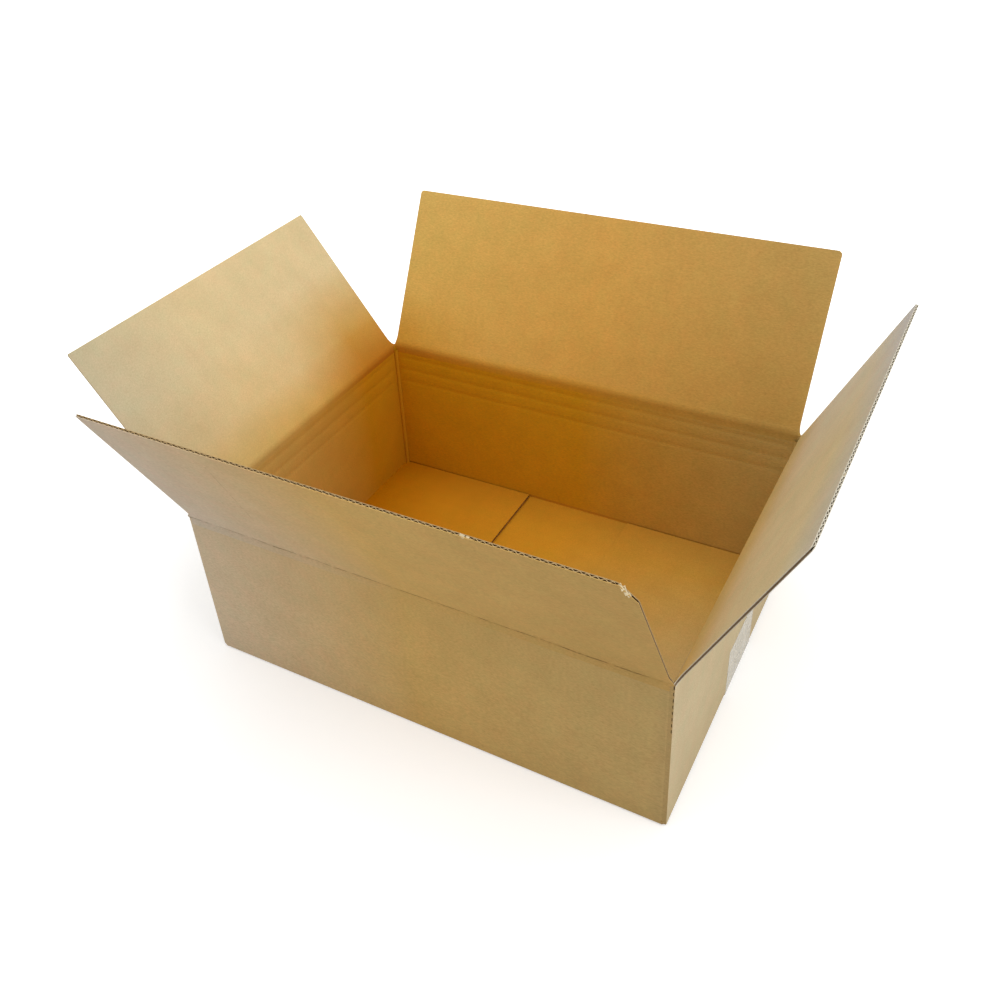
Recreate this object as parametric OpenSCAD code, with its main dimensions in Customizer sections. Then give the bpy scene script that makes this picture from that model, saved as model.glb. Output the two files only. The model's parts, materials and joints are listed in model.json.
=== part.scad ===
// Slotted mailing carton of single-wall corrugated board, standing open on its taped bottom.
// Origin: centre of the taped underside. +X along the length, +Y to the back, +Z up. Millimetres.

/* [Carton] */
// Outside length, along the front wall
box_l = 300; // [220:1:420]
// Outside width, from the front wall to the back wall
box_w = 223; // [160:1:320]
// Height of the front and back fold lines above the resting plane
fold_h = 110; // [70:1:200]
// Thickness of the corrugated board
board = 1.7; // [1.4:0.1:2.6]
// Inner radius of a folded edge
fold_in_r = 0.5; // [0.2:0.1:1.5]
// Radius of the crushed bead that stands in each inner corner
corner_bead_r = 0.9; // [0.4:0.1:1.5]

/* [Wall scores] */
// Score lines pressed into the inside of each wall, below the fold line
score_count = 3; // [1:1:4]
// Distance from the fold line to the first score, and between scores
score_pitch = 10; // [6:0.5:14]
// Width of a score at the board's surface
score_w = 2.4; // [1.2:0.1:3.5]
// Depth of a score
score_depth = 0.45; // [0.2:0.05:0.8]
// Distance from the end of a score to the wall's inner corner
score_stop = 4; // [1.5:0.5:10]

/* [Maker's joint] */
// Width of the glue tab, folded from the front wall and glued inside the right wall
tab_w = 32; // [20:1:45]
// Distance from the top of the tab to the front fold line
tab_drop = 8; // [6:0.5:15]
// Distance by which the right wall's cut edge stops short of the front wall's face
joint_setback = 0.6; // [0.2:0.1:1.2]

/* [Top flaps] */
// Lean of the front flap from upright, outwards
front_open = 26.5; // [0:0.5:120]
// Lean of the back flap from upright, outwards
back_open = 29; // [0:0.5:120]
// Lean of the left flap from upright, outwards
left_open = 35; // [0:0.5:120]
// Lean of the right flap from upright, outwards
right_open = 26; // [0:0.5:120]
// Gap between the front and back flaps where they meet when closed
meet_gap = 0.5; // [0.5:0.5:6]
// Distance from a long flap's side edge to the end wall's outer face, at the fold line
long_inset = 2.8; // [2.6:0.1:6]
// Distance from a short flap's side edge to the inner face of the front or back wall
short_clear = 1.8; // [1:0.1:6]
// Angle by which each side edge of a flap draws in towards the free edge
side_taper = 0.2; // [0:0.1:3]
// Clearance between a closed long flap and the short flaps under it
lap_clear = 0.4; // [0.3:0.1:1]
// Depth of a corner slot below the short fold line
slot_drop = 0.4; // [0.2:0.1:4]
// Radius of a flap's free corners
corner_r = 2; // [1:0.5:8]
// Length of free edge lost at the front flap's crushed right corner
crush_along = 9; // [4:1:20]
// Length of side edge lost at the front flap's crushed right corner
crush_down = 14; // [4:1:20]

/* [Fold lines] */
// Radius of the bead along a flap's fold line
bead_r = 0.25; // [0.15:0.05:0.4]
// Gap between that bead and the wall under it
bead_gap = 0.15; // [0.1:0.05:0.3]

/* [Flutes] */
// Distance between neighbouring flutes
flute_pitch = 3.45; // [3:0.05:6]
// Thickness of each liner
liner = 0.25; // [0.15:0.05:0.4]
// Thickness of the fluted paper, measured along the edge
medium = 0.5; // [0.3:0.05:0.8]
// Depth to which the cells are open along a flap's free edge
flute_depth = 5; // [2:0.5:12]

/* [Bottom] */
// Gap between the two outer bottom flaps, under the tape
seam_gap = 1.5; // [0.5:0.5:6]
// Distance from an outer bottom flap's side edge to the start of the end wall's bend
bottom_inset = 0.3; // [0.1:0.1:2]

/* [Tape] */
// Width of the packing tape
tape_w = 48; // [36:1:75]
// Thickness of the packing tape
tape_t = 0.06; // [0.04:0.01:0.2]
// Height of the tape's ends on the end walls
tape_rise = 37; // [15:1:60]
// Distance from the middle of the tape to the middle of the bottom, towards the back
tape_shift = 11; // [-20:1:20]

/* [Hidden] */
$fn = 48;

kraft_outside = [0.69, 0.58, 0.40];
kraft_inside = [0.76, 0.60, 0.35];
tape_clear = [0.86, 0.82, 0.70, 0.6];

// Outer radius of a folded edge, and half sizes of the carton
fold_r = board + fold_in_r;
half_l = box_l / 2;
half_w = box_w / 2;

// Heights: underside of the board, foot of the wall ring, and the two pairs of fold lines
base_z = tape_t;
ring_z = base_z + board + fold_r;
long_z = fold_h;
short_z = long_z - board - lap_clear;
slot_z = short_z - slot_drop;
tab_z = long_z - tab_drop;

// Flaps: all four have one length, as the long ones have to meet in the middle
flap_len = half_w - meet_gap / 2;
long_flap_w = box_l - 2 * long_inset;
short_inset = board + short_clear;
short_flap_w = box_w - 2 * short_inset;

// Bottom flaps
bottom_len = half_w - seam_gap / 2;
outer_bottom_w = box_l - 2 * (fold_r + bottom_inset);

// Round cutter that leaves a score of the given width and depth
score_r = (score_w * score_w / 4 + score_depth * score_depth) / (2 * score_depth);

// Width of a three-sided flute cell where it lies along its liner
flute_wide = flute_pitch - 2 * medium;

// Overshoot of cutters past the faces that they cut
over = 1;

// Quarter of a bent board in the quadrant towards -X and -Y, its bend centred on the origin
module bend_section(outer_r, thick) {
  intersection() {
    difference() {
      circle(outer_r);
      circle(outer_r - thick);
    }
    translate([-outer_r, -outer_r]) square(outer_r);
  }
}

// Plan of the four walls. The right wall ends in the cut edge of the maker's joint.
module wall_plan() {
  translate([-half_l + fold_r, -half_w]) square([box_l - 2 * fold_r - board, board]);
  translate([-half_l + fold_r, half_w - board]) square([box_l - 2 * fold_r, board]);
  translate([-half_l, -half_w + fold_r]) square([board, box_w - 2 * fold_r]);
  translate([half_l - board, -half_w + joint_setback]) square([board, box_w - fold_r - joint_setback]);
  translate([-half_l + fold_r, -half_w + fold_r]) bend_section(fold_r, board);
  translate([-half_l + fold_r, half_w - fold_r]) mirror([0, 1]) bend_section(fold_r, board);
  translate([half_l - fold_r, half_w - fold_r]) rotate(180) bend_section(fold_r, board);
  for (corner = [[-1, -1], [-1, 1], [1, 1]])
    translate([corner[0] * (half_l - board), corner[1] * (half_w - board)]) circle(corner_bead_r);
}

// Glue tab: the bend out of the front wall with a narrow lip, up to the slot, and the glued strip
module glue_tab() {
  tab_x = half_l - board;
  lip_w = max(0.2, (short_inset - fold_r) / 2);
  linear_extrude(slot_z - ring_z) {
    translate([tab_x - fold_r, -half_w + fold_r]) mirror([1, 0]) bend_section(fold_r, board);
    translate([tab_x - board, -half_w + fold_r]) square([board, lip_w]);
  }
  linear_extrude(tab_z - ring_z)
    translate([tab_x - board, -half_w + fold_r]) square([board, tab_w - fold_r]);
}

// Places a child, drawn for the front wall, on the side that is turned by the given angle
module on_side(angle, distance) {
  rotate(angle) translate([0, -distance, 0]) children();
}

// Cutter that mitres the top of a wall inwards and leaves room for the flap's bead above it
module top_mitre(width, axis_z) {
  wall_top = axis_z - bead_r - bead_gap;
  reach = board + bead_gap;
  rotate([90, 0, 90])
    linear_extrude(width, center = true)
      polygon([
        [-over, wall_top], [0, wall_top], [reach, wall_top - reach],
        [reach, long_z + over], [-over, long_z + over]
      ]);
}

// Cutter for one half of a corner slot: straight sides with a round end below the fold line
module slot_half(half_width, position) {
  translate([position, 0, slot_z + half_width]) {
    rotate([-90, 0, 0]) translate([0, 0, -over]) cylinder(r = half_width, h = board + over);
    translate([-half_width, -over, 0]) cube([2 * half_width, board + over, box_l]);
  }
}

// Cutter for the score lines on the inside of one wall
module wall_scores(from, to) {
  for (k = [1 : score_count])
    translate([from, board + score_r - score_depth, long_z - k * score_pitch])
      rotate([0, 90, 0]) cylinder(r = score_r, h = to - from);
}

// Section of a bottom flap with its bend and a stub of wall, drawn from the wall's outer face
module bottom_section(length, stub) {
  translate([fold_r, fold_r]) bend_section(fold_r, board);
  translate([fold_r, 0]) square([length - fold_r, board]);
  if (stub > 0) translate([0, fold_r]) square([board, stub]);
}

module bottom_flap(width, stub) {
  rotate([90, 0, 90]) linear_extrude(width, center = true) bottom_section(bottom_len, stub);
}

module walls() {
  long_score = half_l - board - score_stop;
  short_score = half_w - board - score_stop;
  difference() {
    translate([0, 0, ring_z]) linear_extrude(long_z - ring_z) wall_plan();
    for (angle = [0, 180]) on_side(angle, half_w) {
      top_mitre(box_l, long_z);
      for (end = [-1, 1]) slot_half(long_inset, end * half_l);
      wall_scores(-long_score, long_score);
    }
    for (angle = [90, 270]) on_side(angle, half_l) {
      top_mitre(box_w, short_z);
      for (end = [-1, 1]) slot_half(short_inset, end * half_w);
    }
    on_side(90, half_l) wall_scores(-half_w + tab_w + score_stop, short_score);
    on_side(270, half_l) wall_scores(-short_score, short_score);
  }
}

// Walls, glue tab and taped bottom flaps of the folded sheet
module carton_body() {
  color(kraft_outside) {
    walls();
    translate([0, 0, ring_z]) glue_tab();
    for (angle = [0, 180])
      on_side(angle, half_w) translate([0, 0, base_z]) bottom_flap(outer_bottom_w, board);
    for (angle = [90, 270])
      on_side(angle, half_l) translate([0, 0, base_z + board]) bottom_flap(short_flap_w, 0);
  }
}

// One row of open flute cells along a flap's free edge, each pointing at the other liner in turn
module flute_cells(width) {
  count = floor((width - 2 * corner_r) / flute_pitch);
  for (k = [0 : 2 * count - 2]) {
    wide_side = k % 2 == 0 ? liner : board - liner;
    translate([(k - count + 1) * flute_pitch / 2, 0])
      polygon([[-flute_wide / 2, wide_side], [flute_wide / 2, wide_side], [0, board - wide_side]]);
  }
}

// Half width of a flap at a height above its fold line
function flap_half(width, height) = width / 2 - height * tan(side_taper);

// Face of an upright flap: sides that draw in, and round free corners that run on from them
module flap_outline(width) {
  round_x = flap_half(width, flap_len - corner_r) - corner_r / cos(side_taper);
  round_z = flap_len - corner_r;
  for (side = [0, 1]) mirror([side, 0]) {
    translate([round_x, round_z]) circle(corner_r);
    polygon([
      [0, -bead_r], [width / 2, -bead_r], [width / 2, 0],
      [round_x + corner_r * cos(side_taper), round_z + corner_r * sin(side_taper)],
      [round_x, flap_len], [0, flap_len]
    ]);
  }
}

// Section of an upright flap: a bead on the fold line and a root mitred to clear the wall
module flap_section() {
  circle(bead_r);
  polygon([[0, 0], [board, board], [board, flap_len], [0, flap_len]]);
}

// Upright flap with its fold line on the X axis and its outer face on the XZ plane
module flap_panel(width) {
  difference() {
    intersection() {
      rotate([90, 0, 90]) linear_extrude(width, center = true) flap_section();
      rotate([90, 0, 0]) linear_extrude(2 * (board + over), center = true) flap_outline(width);
    }
    translate([0, 0, flap_len - flute_depth])
      linear_extrude(flute_depth + over) flute_cells(2 * flap_half(width, flap_len));
  }
}

// Cutter for the crushed corner of the front flap
module crushed_corner() {
  tip_x = flap_half(long_flap_w, flap_len);
  reach = crush_along + crush_down;
  rotate([90, 0, 0])
    linear_extrude(2 * (board + over), center = true)
      polygon([
        [tip_x - crush_along, flap_len], [tip_x, flap_len - crush_down],
        [tip_x + reach, flap_len - crush_down], [tip_x + reach, flap_len + reach],
        [tip_x - crush_along, flap_len + reach]
      ]);
}

// Leans a flap outwards about its own fold line
module hung(angle, distance, axis_z, open) {
  on_side(angle, distance) translate([0, 0, axis_z]) rotate([open, 0, 0]) children();
}

module front_flap() {
  color(kraft_inside)
    hung(0, half_w, long_z, front_open)
      difference() {
        flap_panel(long_flap_w);
        crushed_corner();
      }
}

module back_flap() {
  color(kraft_inside) hung(180, half_w, long_z, back_open) flap_panel(long_flap_w);
}

module left_flap() {
  color(kraft_inside) hung(270, half_l, short_z, left_open) flap_panel(short_flap_w);
}

module right_flap() {
  color(kraft_inside) hung(90, half_l, short_z, right_open) flap_panel(short_flap_w);
}

// Tape under the bottom seam, bent up round the ends of the carton
module tape_section() {
  translate([-half_l + fold_r, 0]) square([box_l - 2 * fold_r, tape_t]);
  for (side = [0, 1]) mirror([side, 0]) {
    translate([-half_l + fold_r, base_z + fold_r]) bend_section(fold_r + tape_t, tape_t);
    translate([-half_l - tape_t, base_z + fold_r]) square([tape_t, tape_rise - base_z - fold_r]);
  }
}

module bottom_tape() {
  color(tape_clear)
    translate([0, tape_shift + tape_w / 2, 0])
      rotate([90, 0, 0]) linear_extrude(tape_w) tape_section();
}

carton_body();
front_flap();
back_flap();
left_flap();
right_flap();
bottom_tape();
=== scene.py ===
"""Open slotted mailing carton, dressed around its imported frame.

The board is built as it is made: two liners with fluted paper between them, folded from one sheet.
Metres throughout, in the frame's own axes.
"""

import json
import math
import random
from collections import namedtuple
from functools import partial

import bmesh
import bpy
from mathutils import Euler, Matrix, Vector


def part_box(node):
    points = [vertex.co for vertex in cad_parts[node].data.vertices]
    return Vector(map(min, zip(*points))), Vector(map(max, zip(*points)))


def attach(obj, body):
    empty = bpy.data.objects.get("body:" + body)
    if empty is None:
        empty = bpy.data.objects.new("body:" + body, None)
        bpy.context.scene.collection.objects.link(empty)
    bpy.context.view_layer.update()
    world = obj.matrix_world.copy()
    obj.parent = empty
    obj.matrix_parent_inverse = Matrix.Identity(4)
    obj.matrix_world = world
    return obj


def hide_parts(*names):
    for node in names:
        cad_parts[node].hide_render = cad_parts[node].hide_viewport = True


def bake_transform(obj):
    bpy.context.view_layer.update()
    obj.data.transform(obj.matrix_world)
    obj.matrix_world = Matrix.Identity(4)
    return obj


bl_info = {
    "name": "Slotted Mailing Carton",
    "version": (1, 0, 0),
    "blender": (4, 5, 0),
    "location": "View3D > Sidebar > Carton",
    "description": "Builds an open corrugated mailing carton with its tape and a studio stage",
    "category": "Add Mesh",
}

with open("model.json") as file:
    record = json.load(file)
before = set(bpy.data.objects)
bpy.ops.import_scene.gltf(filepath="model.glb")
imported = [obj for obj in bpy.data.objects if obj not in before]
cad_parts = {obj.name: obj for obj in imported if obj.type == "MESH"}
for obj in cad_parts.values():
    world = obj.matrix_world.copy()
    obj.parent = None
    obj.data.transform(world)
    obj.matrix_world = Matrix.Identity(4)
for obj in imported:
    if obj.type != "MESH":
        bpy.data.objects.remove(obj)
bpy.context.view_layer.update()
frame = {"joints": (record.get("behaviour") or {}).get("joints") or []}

MM = 0.001
UP = Vector((0, 0, 1))
HALF_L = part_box("carton_body")[1][0]
HALF_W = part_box("carton_body")[1][1]
TAPE_LOW, TAPE_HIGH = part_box("bottom_tape")
FOLDS = {joint["child"]: joint for joint in frame["joints"]}
LONG_Z = FOLDS["front"]["pos_m"][2]
SHORT_Z = FOLDS["left"]["pos_m"][2]
LONG_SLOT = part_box("back_flap")[1][0]
SHORT_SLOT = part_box("left_flap")[1][1]

# Thickness of the tape, and the underside of the board that stands on it
FILM = 0.06 * MM
BASE_Z = TAPE_LOW[2] + FILM

# Point that the lamps look at, in the middle of the carton
MIDDLE = Vector((0, 0, 60 * MM))

# Turn of each side about the vertical, from the front wall
SIDES = {"front": 0.0, "right": math.pi / 2, "back": math.pi, "left": -math.pi / 2}
LONG_SIDES = ("front", "back")

# The carton's length, as a line that tones follow: axis, from, to
ALONG_LENGTH = ("X", -HALF_L, HALF_L)

# How each flap was cut: draw of its side edges in degrees, radius of its free corners, extra length,
# and half the gap left between its liners by slotting
FLAP_CUTS = {
    "front": (0.6, 1.0 * MM, 0.0, 0.32 * MM),
    "back": (0.1, 2.6 * MM, -0.8 * MM, 0.12 * MM),
    "left": (0.2, 1.0 * MM, 1.6 * MM, 0.1 * MM),
    "right": (-0.8, 1.8 * MM, 0.5 * MM, 0.45 * MM),
}

# Torn paper at a flap's free edge, in millimetres: place along the edge, drop below it, length, width
SCRAPS = {
    "front": (
        (73.2, -0.3, 2.4, 1.5), (75.9, -0.2, 1.3, 1.0),
        (140.9, 1.4, 3.4, 1.3), (142.0, 4.0, 4.0, 1.5), (143.0, 6.8, 2.6, 1.3),
    ),
    "right": ((-58, 0.0, 2.2, 0.9), (28, 0.0, 2.0, 0.8)),
}

Flap = namedtuple("Flap", "side turn pivot lean half_width length strip taper corner gap slot")

# Height below the bottom of a slot over which a flap's root widens, and the share of the slot that it fills
ROOT_FOOT = 0.9 * MM
ROOT_SHARE = 0.93

# Marks in a flap's liners, as (depth, width): the pressed free edge, and the creases of the fold.
# The outer crease lies below the fold line.
EDGE_PRESS = (0.1 * MM, 2.5 * MM)
INNER_CREASE = (0.25 * MM, 3 * MM)
OUTER_CREASE = (0.18 * MM, 0.6 * MM)
OUTER_CREASE_DROP = 1.2 * MM

# Share of the pinch at a side edge that is left at the middle of the pressed width
PINCH_MIDDLE = 0.45

# Scores in each wall, the rows of points on each half of a score, and its distance from the corners
SCORES = (1, 2, 3)
SCORE_ROWS = 3
SCORE_MARGIN = 8 * MM

# Material slots of a wall liner. The end faces' papers are painted light and shade copies of the long faces';
# the slot's paper is the dark of painted shadow.
FACE, FLUTES, CUT, END_FACE, SLOT = range(5)

# Dark specks in the paper, the dirt in its scratches, and the painted shade in the crease of the fold
SPECK = (0.24, 0.13, 0.04)
DIRT_AND_SHADE = (0.13, 0.08, 0.035)

# Angle up to which neighbouring faces are shaded as one curve
SMOOTH_ANGLE = math.radians(35)

# Distances within which a point lies on a line, and within which two points are one
NEAR = 1e-5
SAME = 1e-7

# Attribute of a flap's points: their place at rest, which the papers' patterns follow when the flap turns
REST_PLACE = "rest_place"

length_prop = partial(bpy.props.FloatProperty, unit="LENGTH")
tone_prop = partial(bpy.props.FloatVectorProperty, subtype="COLOR", size=3)


class CartonBoard(bpy.types.PropertyGroup):
    """Sizes of the board and of the marks that making the carton leaves in it."""

    thickness: length_prop(name="Board", description="Thickness of the board", default=1.7 * MM)
    liner: length_prop(name="Liner", description="Thickness of each flat paper", default=0.3 * MM)
    medium: length_prop(name="Fluted paper", description="Thickness of the fluted paper", default=0.36 * MM)
    flute_pitch: length_prop(name="Flute pitch", description="Distance between flutes", default=3.45 * MM)
    fold_radius: length_prop(
        name="Fold radius", description="Outer radius of a folded edge", default=2.2 * MM
    )
    fold_reach: length_prop(
        name="Fold reach", description="Half width of the board that bends at a flap", default=3 * MM
    )
    seam_drop: length_prop(
        name="Fold strip", description="Depth of the wall strip that belongs to a long flap", default=6 * MM
    )
    pinch: length_prop(
        name="Pinched edge", description="Width of the board that slotting presses flat", default=1.6 * MM
    )
    score_pitch: length_prop(
        name="Score pitch", description="Distance between the wall scores", default=10 * MM
    )
    score_depth: length_prop(name="Score depth", description="Depth of a wall score", default=0.28 * MM)
    score_half: length_prop(
        name="Score half width", description="Half width of a wall score", default=2.8 * MM
    )
    bead_radius: length_prop(
        name="Corner bead", description="Radius of the crushed bead in an inner corner", default=1.6 * MM
    )
    tab_width: length_prop(name="Glue tab", description="Width of the glue tab", default=32 * MM)
    joint_setback: length_prop(
        name="Joint setback", description="Gap from the right wall's cut edge to the corner", default=0.3 * MM
    )
    slot_drop: length_prop(
        name="Slot drop", description="Depth of a slot's round end below the long fold line", default=1.3 * MM
    )
    slot_round: length_prop(
        name="Slot round", description="Height of the round at a slot's end", default=8 * MM
    )
    crush_along: length_prop(
        name="Crush along", description="Free edge lost at the crushed corner", default=5.7 * MM
    )
    crush_down: length_prop(
        name="Crush down", description="Side edge lost at the crushed corner", default=13 * MM
    )
    wall_lean: length_prop(
        name="Left lean", description="Distance that the left wall's foot stands out", default=2.4 * MM
    )
    joint_lean: length_prop(
        name="Joint lean", description="Distance that the joint corner's foot stands out", default=1.3 * MM
    )
    front_lean: length_prop(
        name="Front lean", description="Distance that the front wall's foot stands out", default=0.6 * MM
    )


class CartonColours(bpy.types.PropertyGroup):
    """Colours of the papers and the tape. The board is one kraft paper: its tones by surface and along each
    surface are painted light and shade, and the inside's saturated orange is painted light bounced within the
    carton.
    """

    kraft: tone_prop(name="Kraft", description="Outer liner of the long sides", default=(0.63, 0.4, 0.13))
    # Painted light: a paler, greyer lit copy of the kraft at the long sides' left end
    kraft_pale: tone_prop(
        name="Pale kraft", description="Outer liner, bleached at its left end", default=(0.66, 0.52, 0.35)
    )
    # Painted shade: a darker shaded copy of the kraft at the long sides' right end
    kraft_dull: tone_prop(
        name="Dull kraft", description="Outer liner at its right end", default=(0.515, 0.355, 0.138)
    )
    # Painted light: the end walls' outer liner is a paler, greyer lit copy of the kraft
    kraft_end: tone_prop(
        name="End kraft", description="Outer liner of the short sides", default=(0.59, 0.475, 0.288)
    )
    # Painted light and shade on the long flaps' outer liner: a paler lit copy at the left end, a darker
    # shaded copy at the right end
    kraft_ash: tone_prop(
        name="Ash kraft", description="Outer liner of the long flaps, left end", default=(0.63, 0.525, 0.41)
    )
    kraft_shaded: tone_prop(
        name="Worn kraft", description="Outer liner of the long flaps, right end", default=(0.51, 0.32, 0.103)
    )
    # Painted light: the inner liners' saturated orange stands in for light bounced inside the carton, and
    # their tones change along the walls and towards the front with the light
    deep: tone_prop(name="Deep", description="Inner liner at the left end", default=(0.6, 0.28, 0.006))
    warm: tone_prop(name="Warm", description="Inner liner in the middle", default=(0.67, 0.35, 0.017))
    tan: tone_prop(name="Tan", description="Inner liner at the right end", default=(0.595, 0.45, 0.17))
    rust: tone_prop(name="Rust", description="Inner liner of the end walls", default=(0.54, 0.245, 0.008))
    russet: tone_prop(
        name="Russet", description="Inner liner of the left wall, near end", default=(0.61, 0.42, 0.13)
    )
    # Painted light and shade on the bottom flaps: a darker, redder shaded tone at the left end, a greyer lit
    # tone near the front right corner
    umber: tone_prop(name="Umber", description="Bottom flaps at the left end", default=(0.43, 0.15, 0.001))
    amber: tone_prop(name="Amber", description="Bottom flaps in the middle", default=(0.58, 0.267, 0.02))
    ochre: tone_prop(name="Ochre", description="Bottom flaps at the right end", default=(0.54, 0.315, 0.065))
    drab: tone_prop(
        name="Drab", description="Bottom flaps near the front right corner", default=(0.53, 0.41, 0.185)
    )
    # Painted shadow: the bottom flaps' cut edges are dark as the shadow in the seam between them
    seam: tone_prop(name="Seam", description="Cut edge of a bottom flap", default=(0.32, 0.13, 0.012))
    # Painted light and shade on the long flaps' inner liner: lit at the left end, shaded at the right end
    golden: tone_prop(
        name="Golden", description="Inner liner of the long flaps", default=(0.67, 0.385, 0.093)
    )
    honey: tone_prop(
        name="Honey", description="Inner liner of the long flaps, lit end", default=(0.715, 0.47, 0.13)
    )
    bronze: tone_prop(
        name="Bronze", description="Inner liner of the long flaps, dull end", default=(0.49, 0.31, 0.093)
    )
    # Painted light on the left flap's inner liner: paler towards its free edge, where the light falls on it
    sand: tone_prop(
        name="Sand", description="Inner liner of the left flap near its fold", default=(0.67, 0.47, 0.2)
    )
    cream: tone_prop(
        name="Cream", description="Inner liner of the left flap, bleached", default=(0.705, 0.565, 0.315)
    )
    # Painted light on the right flap's inner liner: greyer and bluer towards its free edge, a painted cool
    # light
    clay: tone_prop(
        name="Clay", description="Inner liner of the right flap near its fold", default=(0.63, 0.475, 0.27)
    )
    dry: tone_prop(
        name="Dry", description="Inner liner of the right flap at mid height", default=(0.672, 0.6, 0.44)
    )
    stone: tone_prop(
        name="Stone", description="Inner liner of the right flap at its free edge", default=(0.535, 0.55, 0.6)
    )
    medium: tone_prop(name="Fluted paper", description="Fluted paper", default=(0.34, 0.195, 0.07))
    # Painted light: the right flap's fluted and cut papers are paler, greyer lit copies
    pale_medium: tone_prop(
        name="Pale flutes", description="Fluted paper of the right flap", default=(0.42, 0.36, 0.25)
    )
    cut: tone_prop(name="Cut edge", description="Cut edge of a liner", default=(0.46, 0.32, 0.155))
    # Painted light: a paler, greyer lit copy of the cut paper
    pale_cut: tone_prop(
        name="Pale cut", description="Cut paper of the right flap", default=(0.62, 0.57, 0.46)
    )
    # Painted shadow: dark as the shadow in the narrow gaps of the slots and of the flaps' side edges
    slot: tone_prop(name="Slot edge", description="Pressed edge of a slot", default=(0.185, 0.12, 0.065))
    fibre: tone_prop(name="Torn fibre", description="Torn paper", default=(0.8, 0.665, 0.42))
    tape: tone_prop(name="Tape", description="Packing tape", default=(0.76, 0.7, 0.565))


# Modelling helpers: each drives Blender's own edit operators


def deselect():
    """Leaves nothing selected, so that an operator acts on the new piece alone."""
    bpy.ops.object.select_all(action="DESELECT")


def start_edit():
    """Opens the active piece for editing, with all of it selected."""
    bpy.ops.object.mode_set(mode="EDIT")
    bpy.ops.mesh.select_all(action="SELECT")


def finish_edit():
    """Closes the piece that is being edited."""
    bpy.ops.object.mode_set(mode="OBJECT")


def new_square(name):
    """Adds a square of unit size, open for editing."""
    deselect()
    bpy.ops.mesh.primitive_plane_add(size=1.0)
    piece = bpy.context.object
    piece.name = name
    piece.data.name = name
    start_edit()
    return piece


def begin(name, spot):
    """Starts a mesh as one selected point, in edit mode."""
    piece = new_square(name)
    bpy.ops.mesh.select_mode(type="VERT")
    bpy.ops.mesh.merge(type="CENTER")
    bpy.ops.transform.translate(value=spot)
    return piece


def draw(step):
    """Draws an edge on from the selected point."""
    bpy.ops.mesh.extrude_vertices_move(TRANSFORM_OT_translate={"value": step})


def draw_stops(direction, stops):
    """Draws edges along a direction, through a list of distances."""
    for near, far in zip(stops, stops[1:]):
        draw(Vector(direction) * (far - near))


def draw_arc(centre, axis, angle, steps=6):
    """Draws an arc on from the selected point, right-handed about the axis."""
    bpy.ops.mesh.spin(steps=steps, angle=-angle, center=centre, axis=axis)


def sweep(step):
    """Extrudes the selected edges and leaves the new ones selected."""
    bpy.ops.mesh.extrude_edges_move(TRANSFORM_OT_translate={"value": step})


def sweep_line(steps):
    """Extrudes the whole drawn line through one step after another."""
    bpy.ops.mesh.select_all(action="SELECT")
    for step in steps:
        sweep(step)


def pick(piece, test):
    """Selects the points whose place passes the test."""
    mesh = bmesh.from_edit_mesh(piece.data)
    for point in mesh.verts:
        point.select = bool(test(point.co))
    mesh.select_flush_mode()
    bmesh.update_edit_mesh(piece.data)


def cut_at(spot, normal, **options):
    """Cuts the whole mesh along a plane."""
    bpy.ops.mesh.select_all(action="SELECT")
    bpy.ops.mesh.bisect(plane_co=spot, plane_no=normal, **options)


def face_to(piece, facing):
    """Turns all faces of an open sheet so that they look along facing(centre), and closes it."""
    bpy.ops.mesh.select_all(action="SELECT")
    bpy.ops.mesh.normals_make_consistent(inside=False)
    mesh = bmesh.from_edit_mesh(piece.data)
    lean = sum(f.normal.dot(facing(f.calc_center_median())) * f.calc_area() for f in mesh.faces)
    if lean < 0:
        bpy.ops.mesh.flip_normals()
    finish_edit()


def apply_modifier(piece, kind, **settings):
    """Adds a modifier to a piece and applies it."""
    bpy.context.view_layer.objects.active = piece
    modifier = piece.modifiers.new(kind.title(), kind)
    for key, value in settings.items():
        setattr(modifier, key, value)
    bpy.ops.object.modifier_apply(modifier=modifier.name)


def thicken(piece, thickness, offset=-1, **slots):
    """Gives a sheet its thickness, by default on the side that it doesn't face."""
    apply_modifier(piece, "SOLIDIFY", thickness=thickness, offset=offset, **slots)


def thicken_liner(liner, size):
    """Gives a liner its thickness. Its first slots are its face, its back and its rim."""
    thicken(liner, size.liner, use_even_offset=True, material_offset=FLUTES, material_offset_rim=CUT)


def repeat(piece, count, step, **merging):
    """Repeats a piece by a step."""
    apply_modifier(
        piece, "ARRAY", count=count, use_relative_offset=False, use_constant_offset=True,
        constant_offset_displace=step, **merging,
    )


def dress(piece, *materials):
    """Gives a piece its material slots."""
    piece.data.materials.clear()
    for material in materials:
        piece.data.materials.append(material)


def place(piece, turn, location):
    """Turns and moves a piece, with its place left in its mesh."""
    deselect()
    piece.select_set(True)
    bpy.context.view_layer.objects.active = piece
    piece.rotation_euler = Euler(turn)
    piece.location = location
    bpy.ops.object.transform_apply(location=True, rotation=True, scale=True)


def joined(name, parts):
    """Joins parts into one piece with softened faces."""
    deselect()
    for part in parts:
        part.select_set(True)
    bpy.context.view_layer.objects.active = parts[0]
    bpy.ops.object.join()
    piece = bpy.context.object
    piece.name = name
    piece.data.name = name
    bpy.ops.object.shade_smooth_by_angle(angle=SMOOTH_ANGLE)
    return piece


def ease(t):
    """Smooth step from 0 to 1."""
    t = min(max(t, 0.0), 1.0)
    return t * t * (3 - 2 * t)


def bell(t):
    """Smooth bump of height 1 over -1 to 1."""
    return ease(1 - abs(t))


def outward(turn):
    """Direction out of the wall at a turn about the vertical."""
    return Vector((math.sin(turn), -math.cos(turn), 0))


# Materials: kraft papers, cut papers and tape, each on the place of its points


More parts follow.
